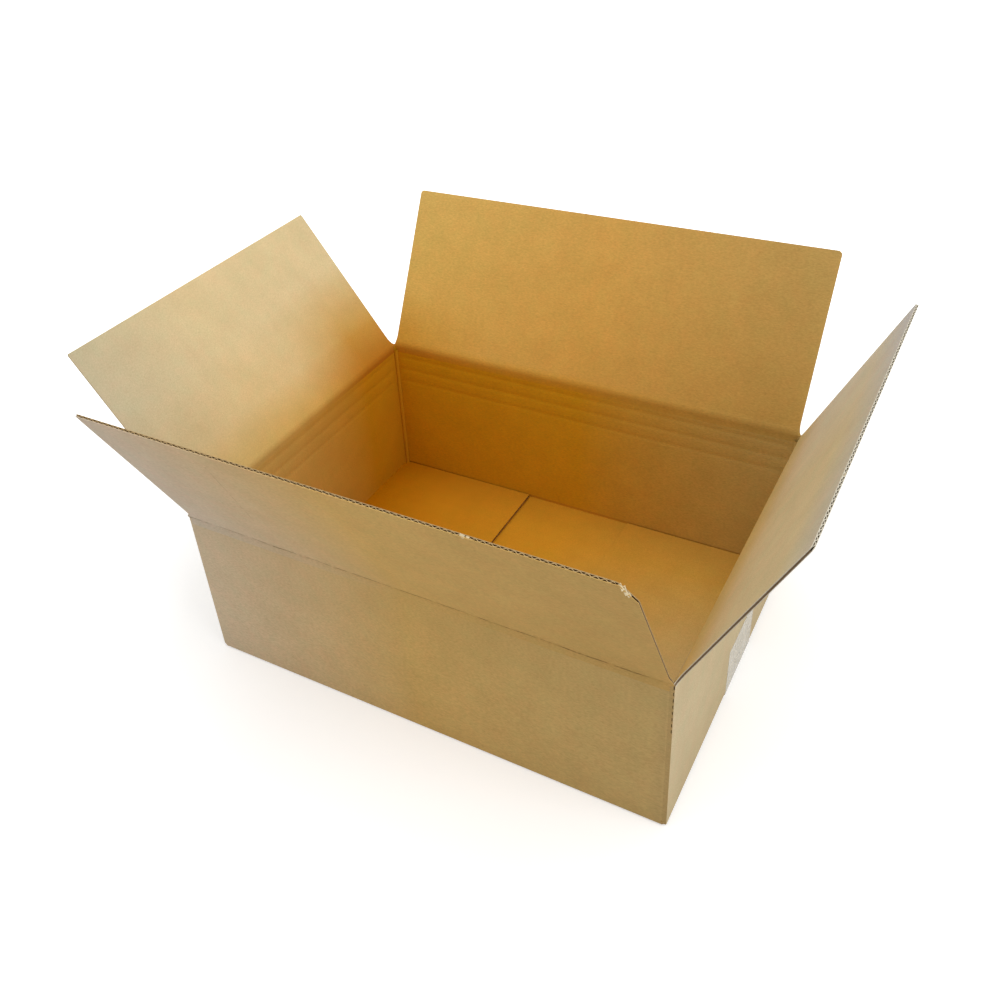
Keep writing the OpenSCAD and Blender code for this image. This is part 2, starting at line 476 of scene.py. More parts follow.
def node(material, kind, inputs=None, **settings):
    """Adds a shader node. An input takes a value, or another node's output."""
    made = material.node_tree.nodes.new("ShaderNode" + kind)
    for key, value in settings.items():
        setattr(made, key, value)
    for key, value in (inputs or {}).items():
        if isinstance(value, bpy.types.NodeSocket):
            material.node_tree.links.new(value, made.inputs[key])
        else:
            made.inputs[key].default_value = value
    return made


def new_material(name, **values):
    """A material with a Principled shader and constant values on its own sockets."""
    material = bpy.data.materials.new(name)
    material.use_nodes = True
    shader = material.node_tree.nodes["Principled BSDF"]
    for key, value in values.items():
        shader.inputs[key.replace("_", " ")].default_value = value
    return material, shader


def feed(material, shader, **outputs):
    """Links outputs to a shader's sockets."""
    for key, output in outputs.items():
        material.node_tree.links.new(output, shader.inputs[key.replace("_", " ")])


def rgba(colour, factor=1.0):
    """A colour with full alpha, made lighter or darker by a factor."""
    return tuple(min(channel * factor, 1.0) for channel in colour) + (1.0,)


def object_place(material):
    """Coordinates of the object itself."""
    return node(material, "TexCoord").outputs["Object"]


def paper_place(material, turns):
    """Coordinates of a paper's patterns: on a flap that turns, the place at rest."""
    if turns:
        return node(material, "Attribute", attribute_name=REST_PLACE).outputs["Vector"]
    return object_place(material)


def keep_rest_place(piece):
    """Stores the place of each point at rest."""
    stored = piece.data.attributes.new(REST_PLACE, "FLOAT_VECTOR", "POINT")
    for point, value in zip(piece.data.vertices, stored.data):
        value.vector = point.co


def stretched(material, coordinates, scale, offset=(0, 0, 0)):
    """Coordinates with another scale and start."""
    inputs = {"Vector": coordinates, "Scale": scale, "Location": offset}
    return node(material, "Mapping", inputs).outputs["Vector"]


def noise(material, vector, scale, detail, roughness=0.5):
    """A noise pattern."""
    inputs = {"Vector": vector, "Scale": scale, "Detail": detail, "Roughness": roughness}
    return node(material, "TexNoise", inputs).outputs["Fac"]


def worked(material, operation, *values):
    """Result of a Math node."""
    return node(material, "Math", dict(enumerate(values)), operation=operation).outputs[0]


def mixed(material, factor, first, second, blend="MIX"):
    """Colour mix of two colours or outputs."""
    inputs = {0: factor, 6: first, 7: second}
    return node(material, "Mix", inputs, data_type="RGBA", blend_type=blend).outputs[2]


def spread(material, value, low, high, to_low=0.0, to_high=1.0):
    """Maps a value from one range to another, clamped."""
    inputs = {"Value": value, "From Min": low, "From Max": high, "To Min": to_low, "To Max": to_high}
    return node(material, "MapRange", inputs).outputs["Result"]


def mottled(material, pattern, dark, light):
    """Colour that goes from dark to light with a noise pattern."""
    return mixed(material, spread(material, pattern, 0.3, 0.7), dark, light)


def shaded(material, value, start, end, tones):
    """Colour that goes through evenly spaced tones as a value goes from start to end."""
    ramp = node(material, "ValToRGB", {"Fac": spread(material, value, start, end)})
    stops = ramp.color_ramp.elements
    while len(stops) < len(tones):
        stops.new(0.5)
    for k, tone in enumerate(tones):
        stops[k].position = k / (len(tones) - 1)
        stops[k].color = rgba(tone)
    return ramp.outputs["Color"]


def bumped(material, height, strength, distance, **below):
    """Normal of a surface that a pattern raises."""
    inputs = {"Height": height, "Strength": strength, "Distance": distance, **below}
    return node(material, "Bump", inputs).outputs["Normal"]


class KraftPaper:
    """A kraft liner's material in the making. Its colour is built up layer by layer.

    A line is (axis, from, to). The axis named across is the one along which the flutes follow each other.
    """

    def __init__(self, name, tones, line, across, sheen, turns):
        self.material, self.shader = new_material(name, Roughness=0.9, Specular_IOR_Level=sheen)
        self.place = paper_place(self.material, turns)
        self.parts = node(self.material, "SeparateXYZ", {"Vector": self.place}).outputs
        self.fibre_scale = (0.4, 1, 1) if across == "X" else (1, 1.4, 1)
        rib_scale = (1, 0.03, 0.03) if across == "X" else (0.03, 1, 0.03)
        self.fibre = self.noise(1300.0, 5.0, self.fibre_scale)
        self.ribs = self.noise(260.0, 2.0, rib_scale)
        self.colour = self.toned(tones, line)

    def noise(self, scale, detail, stretch=(1, 1, 1), offset=(0, 0, 0)):
        """Noise over the paper."""
        vector = stretched(self.material, self.place, stretch, offset)
        return noise(self.material, vector, scale, detail, 0.6)

    def share(self, line, at_start=0.0, at_end=1.0):
        """Share of the way along a line."""
        axis, start, end = line
        return spread(self.material, self.parts[axis], start, end, at_start, at_end)

    def toned(self, tones, line):
        """Tones that change along a line."""
        axis, start, end = line
        return shaded(self.material, self.parts[axis], start, end, tones)

    def product(self, *shares):
        """Product of several shares."""
        result = shares[0]
        for share in shares[1:]:
            result = worked(self.material, "MULTIPLY", result, share)
        return result

    def tint(self, colour):
        """Multiplies the paper by a colour."""
        self.colour = mixed(self.material, 1.0, self.colour, colour, "MULTIPLY")

    def stain(self, share, colour):
        """Covers a share of the paper with a colour."""
        self.colour = mixed(self.material, share, self.colour, rgba(colour))

    def laid_over(self, upper, layer):
        """A colour that gives way, at a line's start, to a layer of (tones, line, and more layers below)."""
        tones, line, *deeper = layer
        lower = self.toned(tones, ALONG_LENGTH)
        for next_layer in deeper:
            lower = self.laid_over(lower, next_layer)
        return mixed(self.material, self.share(line), lower, upper)

    def glow(self, first, second, tint):
        """Tints one corner with painted warm shade, most where both lines end."""
        share = self.product(self.share(first), self.share(second))
        self.tint(mixed(self.material, share, (1, 1, 1, 1), rgba(tint)))

    def dim(self, axis, start, end, tint):
        """Tints the paper at the start of a line, as painted light and shade."""
        self.tint(self.toned((tint, (1, 1, 1)), (axis, start, end)))

    def grain(self):
        """Adds fibres, mottling, the faint ribs of the flutes below, blotches and specks."""
        mottling = self.noise(48.0, 5.0)
        for pattern, depth in ((self.fibre, 0.12), (mottling, 0.045), (self.ribs, 0.008)):
            dark, light = 1 - depth, 1 + depth
            dark_tone = (dark, dark, dark - 0.2 * depth, 1)
            light_tone = (light, light, light + 0.2 * depth, 1)
            self.tint(mottled(self.material, pattern, dark_tone, light_tone))
        blotch = self.noise(95.0, 3.0, offset=(0.7, 2.3, 1.1))
        self.tint(mottled(self.material, blotch, (1.03, 0.985, 0.98, 1), (0.98, 1.015, 1.0, 1)))
        speck = self.noise(700.0, 1.0, self.fibre_scale, (3.1, 1.7, 0.4))
        self.stain(spread(self.material, speck, 0.72, 0.8, 0.0, 0.2), SPECK)

    def crease(self, height, half, end):
        """Adds a broken dark line at a height, as wide as twice its half, up to its end along X: painted
        shade in the crease of the fold.
        """
        along_x = (1, 0.01, 0.01)
        wander = spread(self.material, self.noise(14.0, 2.0, along_x), 0.2, 0.8, -1.2 * MM, 0.9 * MM)
        middle = worked(self.material, "ADD", self.parts["Z"], wander)
        line = worked(self.material, "COMPARE", middle, height, half)
        broken = spread(self.material, self.noise(120.0, 3.0, along_x), 0.38, 0.52, 0.0, 0.52)
        ended = self.share(("X", end - 4 * MM, end), 1.0, 0.0)
        self.stain(self.product(line, broken, ended), DIRT_AND_SHADE)

    def scratch(self, foot, slope, low, high):
        """Adds a thin slanting line, from its X at height 0, its slope and its lowest and highest point."""
        slant = worked(self.material, "MULTIPLY_ADD", self.parts["Z"], -slope, self.parts["X"])
        line = worked(self.material, "COMPARE", slant, foot, 0.16 * MM)
        span = worked(self.material, "COMPARE", self.parts["Z"], (low + high) / 2, (high - low) / 2)
        broken = spread(self.material, self.noise(160.0, 2.0, (0.01, 0.01, 1)), 0.4, 0.55, 0.08, 0.42)
        self.stain(self.product(line, span, broken), DIRT_AND_SHADE)

    def finished(self):
        """Links the colour, the roughness and the raised fibres and ribs to the shader."""
        fibres = bumped(self.material, self.fibre, 0.2, 0.04 * MM)
        feed(
            self.material, self.shader, Base_Color=self.colour,
            Roughness=spread(self.material, self.fibre, 0.2, 0.8, 0.84, 0.96),
            Normal=bumped(self.material, self.ribs, 0.05, 0.12 * MM, Normal=fibres),
        )
        return self.material


def kraft(
    name, tones, line, across="X", sheen=0.18, turns=False, under=None, glow=None, dim=None, crease=None,
    scratch=None,
):
    """Kraft liner whose tones follow a line. Each mark has the values of the method that adds it."""
    paper = KraftPaper(name, tones, line, across, sheen, turns)
    if under:
        paper.colour = paper.laid_over(paper.colour, under)
    if glow:
        paper.glow(*glow)
    if dim:
        paper.dim(*dim)
    paper.grain()
    if crease:
        paper.crease(*crease)
    if scratch:
        paper.scratch(*scratch)
    return paper.finished()


def raw_paper(name, colour, contrast=0.25, turns=False):
    """Cut or fluted paper: rough, with an uneven tone."""
    material, shader = new_material(name, Roughness=0.95, Specular_IOR_Level=0.1)
    grain = noise(material, paper_place(material, turns), 700.0, 4.0)
    tone = mottled(material, grain, rgba(colour, 1 - contrast), rgba(colour, 1 + contrast))
    feed(material, shader, Base_Color=tone, Normal=bumped(material, grain, 0.4, 0.08 * MM))
    return material


def tape_film(name, colour):
    """Clear packing film, milky from its adhesive, with faint streaks and trapped air."""
    material, shader = new_material(name, Roughness=0.22, Specular_IOR_Level=0.5, Alpha=0.62)
    coordinates = object_place(material)
    streak = noise(material, stretched(material, coordinates, (0.05, 1, 0.05)), 320.0, 3.0)
    air = noise(material, coordinates, 130.0, 2.0)
    tone = mottled(material, streak, rgba(colour, 0.98), rgba(colour, 1.03))
    tone = mixed(material, spread(material, air, 0.55, 0.75, 0.0, 0.15), tone, rgba(colour, 1.1))
    feed(
        material, shader, Base_Color=tone, Roughness=spread(material, air, 0.3, 0.8, 0.16, 0.34),
        Normal=bumped(material, air, 0.03, 0.1 * MM),
    )
    return material


def seen_directly(material):
    """1 on the rays that show a surface to the eye, also in gloss or through film."""
    rays = node(material, "LightPath").outputs
    seen = worked(material, "MAXIMUM", rays["Is Camera Ray"], rays["Is Glossy Ray"])
    return worked(material, "MAXIMUM", seen, rays["Is Transmission Ray"])


def near_end(tones):
    """Layer of tones that the end walls take on towards the front: painted light, paler near the front."""
    return (tones.russet, tones.tan), ("Y", -0.06, 0.07)


def flap_papers(context, side):
    """Materials of one flap. Boards on opposite walls share a grain direction."""
    tones = context.scene.carton_colours
    long_side = side in LONG_SIDES
    across = "X" if long_side else "Y"
    height = ("Z", LONG_Z, LONG_Z + HALF_W)
    # Painted light and shade: the flaps' inner tones change across each flap with the light
    long_inside = ((tones.honey, tones.golden, tones.bronze), ALONG_LENGTH)
    inside = {
        "left": ((tones.sand, tones.cream, tones.cream), height),
        "right": ((tones.clay, tones.dry, tones.dry, tones.stone), height),
    }.get(side, long_inside)
    # Painted shade and light: the back flap darker near its fold, the left flap darker at its near end, the
    # right flap warmer over its near half
    dim = {
        "back": ("Z", LONG_Z, LONG_Z + 0.1, (0.96, 0.9, 0.75)),
        "left": ("Y", -HALF_W, -0.02, (0.75, 0.81, 0.95)),
        "right": ("Y", 0.0, 0.1, (1.0, 0.92, 0.715)),
    }.get(side)
    # Painted shade, darker and more orange, in the back left inner corner near the folds
    glow = {
        "left": (("Y", 0.02, 0.075), ("Z", 0.169, 0.128), (0.8, 0.6, 0.25)),
        "back": (("X", -0.07, -0.14), ("Z", 0.145, 0.118), (0.89, 0.76, 0.45)),
    }.get(side)
    below_fold = LONG_Z - 6 * MM
    # Below the fold a flap's inner liner takes on the walls' painted inside light; its outer tones are
    # painted light and shade along it
    if long_side:
        under = ((tones.deep, tones.warm, tones.tan), ("Z", below_fold, LONG_Z + 5 * MM))
        outside = (tones.kraft_ash, tones.kraft, tones.kraft_shaded)
    else:
        under = ((tones.rust, tones.tan), ("Z", below_fold, LONG_Z + 22 * MM), near_end(tones))
        outside = (tones.kraft_end, tones.kraft_end)
    # The crease is a painted dark line of shade along the fold; the scratch is wear
    wear_and_shade = {}
    if side == "front":
        wear_and_shade["crease"] = (LONG_Z - 1.3 * MM, 0.26 * MM, 0.142)
        wear_and_shade["scratch"] = (-0.0979, 0.1369, 0.141, 0.197)
    # Painted light and shadow: the right flap's cut and fluted papers are paler, greyer lit copies, and the
    # front and right flaps' side edges take the dark slot paper as the shadow in their gaps
    cut, medium = (tones.pale_cut, tones.pale_medium) if side == "right" else (tones.cut, tones.medium)
    slot = tones.slot if side in ("front", "right") else tones.kraft_end
    name = side + "_flap_"
    return {
        "outside": kraft(name + "outside", outside, ALONG_LENGTH, across, turns=True, **wear_and_shade),
        "inside": kraft(name + "inside", *inside, across, turns=True, under=under, glow=glow, dim=dim),
        "medium": raw_paper(name + "flutes", medium, turns=True),
        "cut": raw_paper(name + "cut", cut, 0.12, turns=True),
        "fibre": raw_paper(name + "fibre", tones.fibre, 0.1, turns=True),
        "slot": raw_paper(name + "slot", slot, 0.1, turns=True),
    }


def shell_papers(context):
    """Materials of the walls and the bottom."""
    tones = context.scene.carton_colours
    shade = 0.02
    return {
        # Painted shade: the long walls darker where they turn round the right corners, the end walls darker
        # towards the floor
        "outside_long": kraft(
            "wall_outside_long", (tones.kraft_pale, tones.kraft, tones.kraft_dull), ALONG_LENGTH, "X",
            dim=("X", HALF_L, HALF_L - 0.01, (0.86, 0.84, 0.88)),
        ),
        "outside_short": kraft(
            "wall_outside_short", (tones.kraft_end, tones.kraft_end), ALONG_LENGTH, "Y",
            dim=("Z", 0, 0.05, (0.96, 0.95, 0.92)),
        ),
        # Painted light: the inside papers carry the warm light bounced within the carton, with the left wall
        # paler near the front and the bottom greyer near the front right corner
        "inside_long": kraft(
            "wall_inside_long", (tones.deep, tones.warm, tones.tan), ALONG_LENGTH, "X", shade
        ),
        "inside_short": kraft(
            "wall_inside_short", (tones.rust, tones.tan), ALONG_LENGTH, "Y", shade, under=near_end(tones)
        ),
        "floor": kraft(
            "floor_inside", (tones.umber, tones.amber, tones.ochre), ALONG_LENGTH, "Y", shade,
            under=((tones.umber, tones.amber, tones.drab), ("Y", -0.01, 0.075)),
        ),
        "medium": raw_paper("wall_flutes", tones.medium),
        "cut": raw_paper("wall_cut", tones.cut, 0.12),
        # Painted shadow: the slot and seam papers are dark as the shadow in the slots and the bottom seam
        "slot": raw_paper("wall_slot", tones.slot, 0.12),
        "seam": raw_paper("bottom_cut", tones.seam, 0.12),
    }


# Top flaps


def flap_from_frame(side, size):
    """A flap's place, lean and size at rest, read from its joint and its solid."""
    joint = FOLDS[side]
    pivot = Vector(joint["pos_m"])
    lean = math.radians(-joint["range_deg"][0] - 90)
    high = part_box(side + "_flap")[1]
    half_width = high[0] if side in LONG_SIDES else high[1]
    length = (high[2] - pivot.z - size.thickness * math.sin(lean)) / math.cos(lean)
    strip = size.seam_drop - (LONG_Z - pivot.z)
    taper, corner, extra, gap = FLAP_CUTS[side]
    slot = HALF_L - LONG_SLOT if side in LONG_SIDES else HALF_W - SHORT_SLOT
    cut = math.radians(taper), corner, gap, slot
    return Flap(side, SIDES[side], pivot, lean, half_width, length + extra, strip, *cut)


def across_board(turn):
    """Direction through a board at a turn, from its outer to its inner face."""
    return Vector((0, math.cos(turn), math.sin(turn)))


def up_board(turn):
    """Direction up a board at a turn."""
    return Vector((0, -math.sin(turn), math.cos(turn)))


def fold_turn(flap, size, along):
    """How far the board has turned at a distance up from the fold line."""
    return flap.lean * ease(0.5 + along / (2 * size.fold_reach))


def bent(flap, size, depth, along):
    """Place on the bent sheet, from its depth in the board and its distance up from the fold line."""
    turn = fold_turn(flap, size, along)
    return across_board(turn) * depth + up_board(turn) * along


def half_at(flap, along):
    """Half width of a flap at a distance up from the fold line."""
    return flap.half_width - max(along, 0) * math.tan(flap.taper)


def liner_depth(flap, size, inner, along):
    """Depth of a liner's face in the board, with the fold's crease and the pressed free edge."""
    depth, width = EDGE_PRESS
    pressed = depth * ease(1 - (flap.length - along) / width)
    if inner:
        depth, width = INNER_CREASE
        return size.thickness - pressed - depth * bell(along / width)
    depth, width = OUTER_CREASE
    return pressed + depth * bell((along + OUTER_CREASE_DROP) / width)


def pinch_depth(flap, size, inner):
    """How far a liner is pressed in at a side edge, along the direction through the board."""
    close = size.thickness / 2 - size.liner - flap.gap
    return -close if inner else close


def pinch_share(inset):
    """Share of the pinch at an inset from a side edge, counted in pressed widths."""
    if inset < 0.5:
        return 1 - 2 * inset * (1 - PINCH_MIDDLE)
    return max(0.0, 2 * (1 - inset) * PINCH_MIDDLE)


def crush_plane(flap, size, inset=0.0):
    """Point and normal of the cut at the front flap's crushed right corner, moved in by an inset."""
    tip = Vector((half_at(flap, flap.length), 0, 0)) + up_board(flap.lean) * flap.length
    on_edge = tip - Vector((size.crush_along, 0, 0))
    on_side = tip - up_board(flap.lean) * size.crush_down
    normal = across_board(flap.lean).cross(on_side - on_edge).normalized()
    if normal.x < 0:
        normal.negate()
    return on_edge - normal * inset, normal


def cut_crushed_corner(flap, size, inset=0.0):
    """Takes off the front flap's crushed right corner."""
    cut_at(*crush_plane(flap, size, inset), clear_outer=True)


def press_crushed_corner(piece, flap, size, inner):
    """Cuts the crushed corner off a liner, and presses the new edge towards the middle of the board.

    Near the side edge, which is pressed already, it is pressed by what is left.
    """
    cut_at(*crush_plane(flap, size, size.pinch))
    cut_crushed_corner(flap, size)
    spot, normal = crush_plane(flap, size)
    depth = across_board(flap.lean) * pinch_depth(flap, size, inner)
    mesh = bmesh.from_edit_mesh(piece.data)
    edge = [point.co.copy() for point in mesh.verts if abs((point.co - spot).dot(normal)) < NEAR]
    for corner in edge:
        inset = (half_at(flap, corner.dot(up_board(flap.lean))) - corner.x) / size.pinch
        pick(piece, lambda co: (co - corner).length < SAME)
        bpy.ops.transform.translate(value=depth * (1 - pinch_share(inset)))


def root_low(flap, size):
    """Lowest point of a flap's root beside its slots, from the fold line."""
    return LONG_Z - size.slot_drop - flap.pivot.z


def root_swell(flap, size, along):
    """How much wider a flap is near its root, where its slots end in a round."""
    full = ROOT_SHARE * flap.slot
    up = along - root_low(flap, size)
    if up < 0:
        return full * max(0.0, 1 + up / ROOT_FOOT)
    rise = min(up / size.slot_round, 1.0)
    return full * (1 - math.sqrt(1 - (1 - rise) ** 2))


def flap_rows(flap, size):
    """Rows up a flap, each as (distance from the fold line, half width), with its round slots and corners."""
    fold_rows, slot_rows, plain_rows, round_rows = 12, 6, 12, 6
    slot_row_pitch = 0.7 * MM
    reach = size.fold_reach
    foot = root_low(flap, size)
    low = [-flap.strip, foot - ROOT_FOOT, foot]
    low += [k * reach / fold_rows for k in range(-fold_rows, fold_rows + 1)]
    low += [reach + slot_row_pitch * k for k in range(1, slot_rows + 1)]
    round_from = flap.length - flap.corner
    plain = [max(low) + (round_from - max(low)) * k / plain_rows for k in range(1, plain_rows + 1)]
    rows = [(row, half_at(flap, row) + root_swell(flap, size, row)) for row in sorted(low) + plain]
    round_half = rows[-1][1] - flap.corner
    for k in range(1, round_rows + 1):
        angle = k * math.pi / (2 * round_rows)
        row = round_from + flap.corner * math.sin(angle)
        rows.append((row, round_half + flap.corner * math.cos(angle)))
    return rows


def flap_liner(flap, size, inner):
    """One liner of a flap and of the wall strip below its fold, with side edges pinched by slotting."""
    rows = flap_rows(flap, size)
    spots = [bent(flap, size, liner_depth(flap, size, inner, row), row) for row, _ in rows]
    edge = flap.half_width
    stops = [edge, edge - size.pinch / 2, edge - size.pinch]
    name = flap.side + ("_inner_liner" if inner else "_outer_liner")
    piece = begin(name, Vector((-edge, 0, 0)) + spots[0])
    draw_stops((1, 0, 0), [-stop for stop in stops] + stops[::-1])
    pick(piece, lambda co: abs(abs(co.x) - stops[-1]) < NEAR)
    bpy.ops.mesh.subdivide(number_cuts=27)
    bpy.ops.mesh.select_all(action="SELECT")
    for (_, half), (_, next_half), near, far in zip(rows, rows[1:], spots, spots[1:]):
        sweep(far - near)
        bpy.ops.transform.resize(value=(next_half / half, 1, 1), center_override=(0, far.y, far.z))
    pinch_sides(piece, flap, size, inner, zip(rows, spots))
    if flap.side == "front":
        press_crushed_corner(piece, flap, size, inner)
    facing = across_board(flap.lean) if inner else -across_board(flap.lean)
    face_to(piece, lambda centre: facing)
    return piece


def pinch_sides(piece, flap, size, inner, rows):
    """Presses a liner towards the middle of the board along the side edges of the flap and round its root."""
    depth = pinch_depth(flap, size, inner)
    low = root_low(flap, size)
    steps = [(pinch_share(inset), inset * size.pinch) for inset in (0.0, 0.5)]

    def at_inset(co, half, inset):
        return abs(half - inset - abs(co.x)) < size.pinch / 5

    for share, inset in steps:

        def on_side(co):
            up = co.dot(up_board(flap.lean))
            half = half_at(flap, up) + root_swell(flap, size, up)
            return up > size.fold_reach + NEAR and at_inset(co, half, inset)

        pick(piece, on_side)
        bpy.ops.transform.translate(value=across_board(flap.lean) * depth * share)
    for (row, half), spot in rows:
        if not low - NEAR < row < size.fold_reach + NEAR:
            continue
        across = across_board(fold_turn(flap, size, row))
        start = ease((row - low) / MM)
        for share, inset in steps:

            def on_root(co):
                on_row = abs(co.y - spot.y) < NEAR and abs(co.z - spot.z) < NEAR
                return on_row and at_inset(co, half, inset)

            pick(piece, on_root)
            bpy.ops.transform.translate(value=across * depth * share * start)


def edge_fill(flap, size, sign, paper):
    """Pressed paper that closes the board along one side edge of a flap. On the front and right flaps its
    paper is the dark of painted shadow in the gap.
    """
    inset, thickness = 0.15 * MM, 0.2 * MM
    low, high = root_low(flap, size), flap.length - flap.corner
    spots = [
        Vector((sign * (half - inset), 0, 0)) + bent(flap, size, size.thickness / 2, row)
        for row, half in flap_rows(flap, size)
        if low - NEAR < row < high + NEAR
    ]
    across = across_board(flap.lean) * flap.gap
    fill = begin(flap.side + "_edge_fill", spots[0] - across)
    draw(2 * across)
    sweep_line(far - near for near, far in zip(spots, spots[1:]))
    if flap.side == "front" and sign > 0:
        cut_crushed_corner(flap, size)
    face_to(fill, lambda centre: Vector((sign, 0, 0)))
    dress(fill, paper)
    thicken(fill, thickness)
    return fill


def fluted_paper(name, size, half_width, start, end, taper=0.0, corner=1 * MM):
    """Fluted paper, upright between a flap's liners: one flute, repeated, drawn up and trimmed."""
    pitch = size.flute_pitch
    middle = size.thickness / 2
    swing = middle - size.liner - size.medium / 2
    count = int(2 * half_width / pitch) + 1
    points = [Vector((k * pitch / 8, middle + swing * math.cos(k * math.pi / 4), start)) for k in range(9)]
    piece = begin(name, points[0] - Vector((count * pitch / 2, 0, 0)))
    for near, far in zip(points, points[1:]):
        draw(far - near)
    finish_edit()
    repeat(piece, count, (pitch, 0, 0), use_merge_vertices=True, merge_threshold=0.01 * MM)
    start_edit()
    sweep((0, 0, end - start))
    tip = half_width - end * math.tan(taper)
    bevel = 0.6 * corner
    for sign in (-1, 1):
        side = (sign * math.cos(taper), 0, math.sin(taper))
        cut_at((sign * (half_width - size.pinch), 0, 0), side, clear_outer=True)
        slope = Vector((sign, 0, 1)).normalized()
        cut_at((sign * (tip - bevel), 0, end - bevel), slope, clear_outer=True)
    finish_edit()
    return piece


def stiffen_flutes(flutes, size, medium, cut):
    """Gives fluted paper its slots and its thickness."""
    dress(flutes, medium, cut)
    thicken(flutes, size.medium, 0, material_offset_rim=1)


def torn_fibre(name, spot, length, width, turn, seed):
    """A scrap of torn paper: a small sheet, cut up and crumpled."""
    piece = new_square(name)
    bpy.ops.transform.resize(value=(length, width, 1))
    bpy.ops.mesh.subdivide(number_cuts=2)
    bpy.ops.transform.vertex_random(offset=0.17 * width, seed=seed)
    finish_edit()
    thicken(piece, 0.14 * MM, 0)
    place(piece, turn, spot)
    return piece


def worn_spots(flap, size, fibre):
    """Torn paper along a free edge, and down the slope of the crushed corner."""
    made = []
    slope_of_crush = math.radians(62)
    middle = Vector((0, size.thickness / 2 * math.cos(flap.lean), 0))
    for k, scrap_sizes in enumerate(SCRAPS.get(flap.side, ())):
        along, drop, length, width = (value * MM for value in scrap_sizes)
        spot = Vector((along, 0, 0)) + middle + up_board(flap.lean) * (flap.length - drop)
        slope = slope_of_crush if drop > 0 else 0.0
        tilt, twist = 0.5, 0.2 * (k % 3 - 1)
        turn = (flap.lean + tilt, slope, twist)
        scrap = torn_fibre(flap.side + "_scrap", spot, length, width, turn, seed=k + 3)
        dress(scrap, fibre)
        made.append(scrap)
    return made


class CARTON_OT_top_flap(bpy.types.Operator):
    """Builds one top flap with its fold: two liners, the fluted paper between them and its spots of wear"""

    bl_idname = "carton.top_flap"
    bl_label = "Top Flap"

    side: bpy.props.EnumProperty(
        name="Side",
        description="Wall that the flap is folded from",
        items=[(side, side.title(), "The " + side + " flap") for side in SIDES],
    )

    def execute(self, context):
        size = context.scene.carton_board
        flap = flap_from_frame(self.side, size)
        sheets = flap_papers(context, self.side)
        parts = []
        for inner in (False, True):
            liner = flap_liner(flap, size, inner)
            face = sheets["inside" if inner else "outside"]
            rim = sheets["cut"] if inner or self.side == "right" else face
            dress(liner, face, sheets["medium"], rim)
            thicken_liner(liner, size)
            parts.append(liner)
        parts.append(self.flutes(flap, size, sheets))
        parts += [edge_fill(flap, size, sign, sheets["slot"]) for sign in (-1, 1)]
        parts += worn_spots(flap, size, sheets["fibre"])
        panel = joined(self.side + "_panel", parts)
        place(panel, (0, 0, flap.turn), flap.pivot)
        keep_rest_place(panel)
        rise = outward(flap.turn) * math.sin(flap.lean) + UP * math.cos(flap.lean)
        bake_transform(panel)
        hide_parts(self.side + "_flap")
        return {"FINISHED"}

    def flutes(self, flap, size, sheets):
        """The fluted paper above the fold, trimmed at the front flap's crushed corner."""
        low, high = size.fold_reach + 0.6 * MM, flap.length - 0.05 * MM
        flutes = fluted_paper(
            self.side + "_flutes", size, flap.half_width, low, high, flap.taper, flap.corner
        )
        if self.side == "front":
            start_edit()
            cut_crushed_corner(flap._replace(lean=0.0), size, size.pinch)
            finish_edit()
        stiffen_flutes(flutes, size, sheets["medium"], sheets["cut"])
        place(flutes, (flap.lean, 0, 0), (0, 0, 0))
        return flutes


# Walls and bottom


def seam_z(size):
    """Height at which the walls end, below the strip that belongs to the long flaps."""
    return LONG_Z - size.seam_drop


def ring_z(size):
    """Height at which the walls begin to bend in to the bottom."""
    return BASE_Z + size.thickness + size.fold_radius


def score_heights(size):
    """Heights of a wall's scores."""
    return [LONG_Z - k * size.score_pitch for k in SCORES]


def score_end(half, size):
    """Where a wall's scores end, from the middle of the wall."""
    return half - size.thickness - SCORE_MARGIN


def wall_rows(size):
    """Heights of the points up a wall, with close rows at each score."""
    rows = [ring_z(size), 30 * MM, 60 * MM]
    for score in reversed(score_heights(size)):
        rows += [score + size.score_half * k / SCORE_ROWS for k in range(-SCORE_ROWS, SCORE_ROWS + 1)]
    return rows + [seam_z(size)]


def wall_liner(size, inset):
    """One liner of the walls: from the right wall's cut edge, round the carton, to the glue tab's end."""
    turn_x = HALF_L - size.fold_radius
    turn_y = HALF_W - size.fold_radius
    tab_turn_x = turn_x - size.thickness
    long_stops = [-LONG_SLOT, -score_end(HALF_L, size), score_end(HALF_L, size), LONG_SLOT]
    short_stops = [-SHORT_SLOT, -score_end(HALF_W, size), score_end(HALF_W, size), SHORT_SLOT]
    cut_edge = -HALF_W + size.joint_setback
    pressed = 0.3 * MM if inset == 0 else -0.1 * MM
    pressed_width = 1.5 * MM
    piece = begin("wall_liner", (HALF_L - inset - pressed, cut_edge, ring_z(size)))
    draw((pressed, pressed_width, 0))
    draw_stops((0, 1, 0), [cut_edge + pressed_width] + short_stops + [turn_y])
    draw_arc((turn_x, turn_y, 0), UP, math.pi / 2)
    draw_stops((1, 0, 0), [turn_x] + long_stops[::-1] + [-turn_x])
    draw_arc((-turn_x, turn_y, 0), UP, math.pi / 2)
    draw_stops((0, 1, 0), [turn_y] + short_stops[::-1] + [-turn_y])
    draw_arc((-turn_x, -turn_y, 0), UP, math.pi / 2)
    draw_stops((1, 0, 0), [-turn_x] + long_stops[:-1] + [tab_turn_x])
    draw_arc((tab_turn_x, -turn_y, 0), UP, math.pi / 2)
    draw_stops((0, 1, 0), [-turn_y, -turn_y + 0.3 * MM, -HALF_W + size.tab_width])
    rows = wall_rows(size)
    sweep_line((0, 0, high - low) for low, high in zip(rows, rows[1:]))
    return piece


